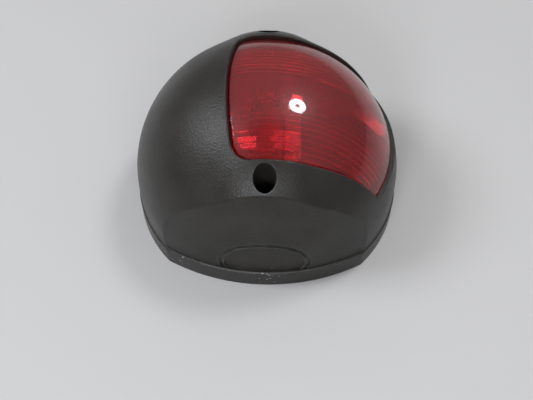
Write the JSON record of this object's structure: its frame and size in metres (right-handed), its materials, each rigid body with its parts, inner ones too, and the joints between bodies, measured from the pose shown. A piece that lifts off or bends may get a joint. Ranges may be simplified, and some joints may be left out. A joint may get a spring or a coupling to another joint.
{
  "type": "boat navigation side light",
  "caption": "Domed bulkhead side light for a small boat: textured black cover with a red lens in a 112.5 degree window, flat base, tubular bulb in open clips inside.",
  "frame": {"origin": "centre of the flat back face that lies on the bulkhead", "axes": "+Z away from the bulkhead along the mounting normal; Y along the tubular bulb, with the oval panel on the -Y end wall; the lit sector runs about Y from 22.5 degrees on the -X side of +Z round to +X"},
  "size_m": [0.0868, 0.0764, 0.0552],
  "materials": {
    "black_housing": "moulded black plastic with a fine leather-like texture, matt",
    "black_rubber": "soft black rubber, matt",
    "holder_plastic": "light grey moulded plastic, satin",
    "stainless_screw": "passivated stainless steel",
    "clip_brass": "rolled spring brass, lightly dulled",
    "washer_brass": "nickel-free stamped brass",
    "red_lens": "clear red moulded plastic, polished outside, ringed with prisms inside",
    "bulb_glass": "clear glass tube",
    "bulb_cap": "nickel-plated cap with a tinned tip",
    "tungsten": "drawn tungsten wire",
    "lead_wire": "nickel wire"
  },
  "bodies": {
    "base": {"base_plate": "black_housing", "cable_grommet": "black_rubber", "lens_gasket": "black_rubber", "bulb_holder": "holder_plastic", "holder_screws": "stainless_screw", "front_contact_clip": "clip_brass", "rear_contact_clip": "clip_brass", "front_clip_rivet": "clip_brass", "rear_clip_rivet": "clip_brass", "front_terminal_screw": "washer_brass", "rear_terminal_screw": "washer_brass", "front_terminal_washer": "washer_brass", "rear_terminal_washer": "washer_brass"},
    "cover": {"cover": "black_housing", "lens": "red_lens"},
    "front_screw": {"front_cover_screw": "stainless_screw"},
    "rear_screw": {"rear_cover_screw": "stainless_screw"},
    "bulb": {"bulb_glass": "bulb_glass", "bulb_front_cap": "bulb_cap", "bulb_rear_cap": "bulb_cap", "bulb_filament": "tungsten", "bulb_lead_wires": "lead_wire"}
  },
  "joints": [
    {"name": "cover_lift", "type": "slide", "parent": "base", "child": "cover", "axis": [0, 0, 1], "range_m": [0, 0.045]},
    {"name": "front_screw_turn", "type": "hinge", "parent": "cover", "child": "front_screw", "pos_m": [0, -0.0295, 0.0155], "axis": [0, 0, 1], "continuous": true},
    {"name": "rear_screw_turn", "type": "hinge", "parent": "cover", "child": "rear_screw", "pos_m": [0, 0.0295, 0.0155], "axis": [0, 0, 1], "continuous": true},
    {"name": "bulb_lift", "type": "slide", "parent": "base", "child": "bulb", "axis": [0, 0, 1], "range_m": [0, 0.01]}
  ]
}
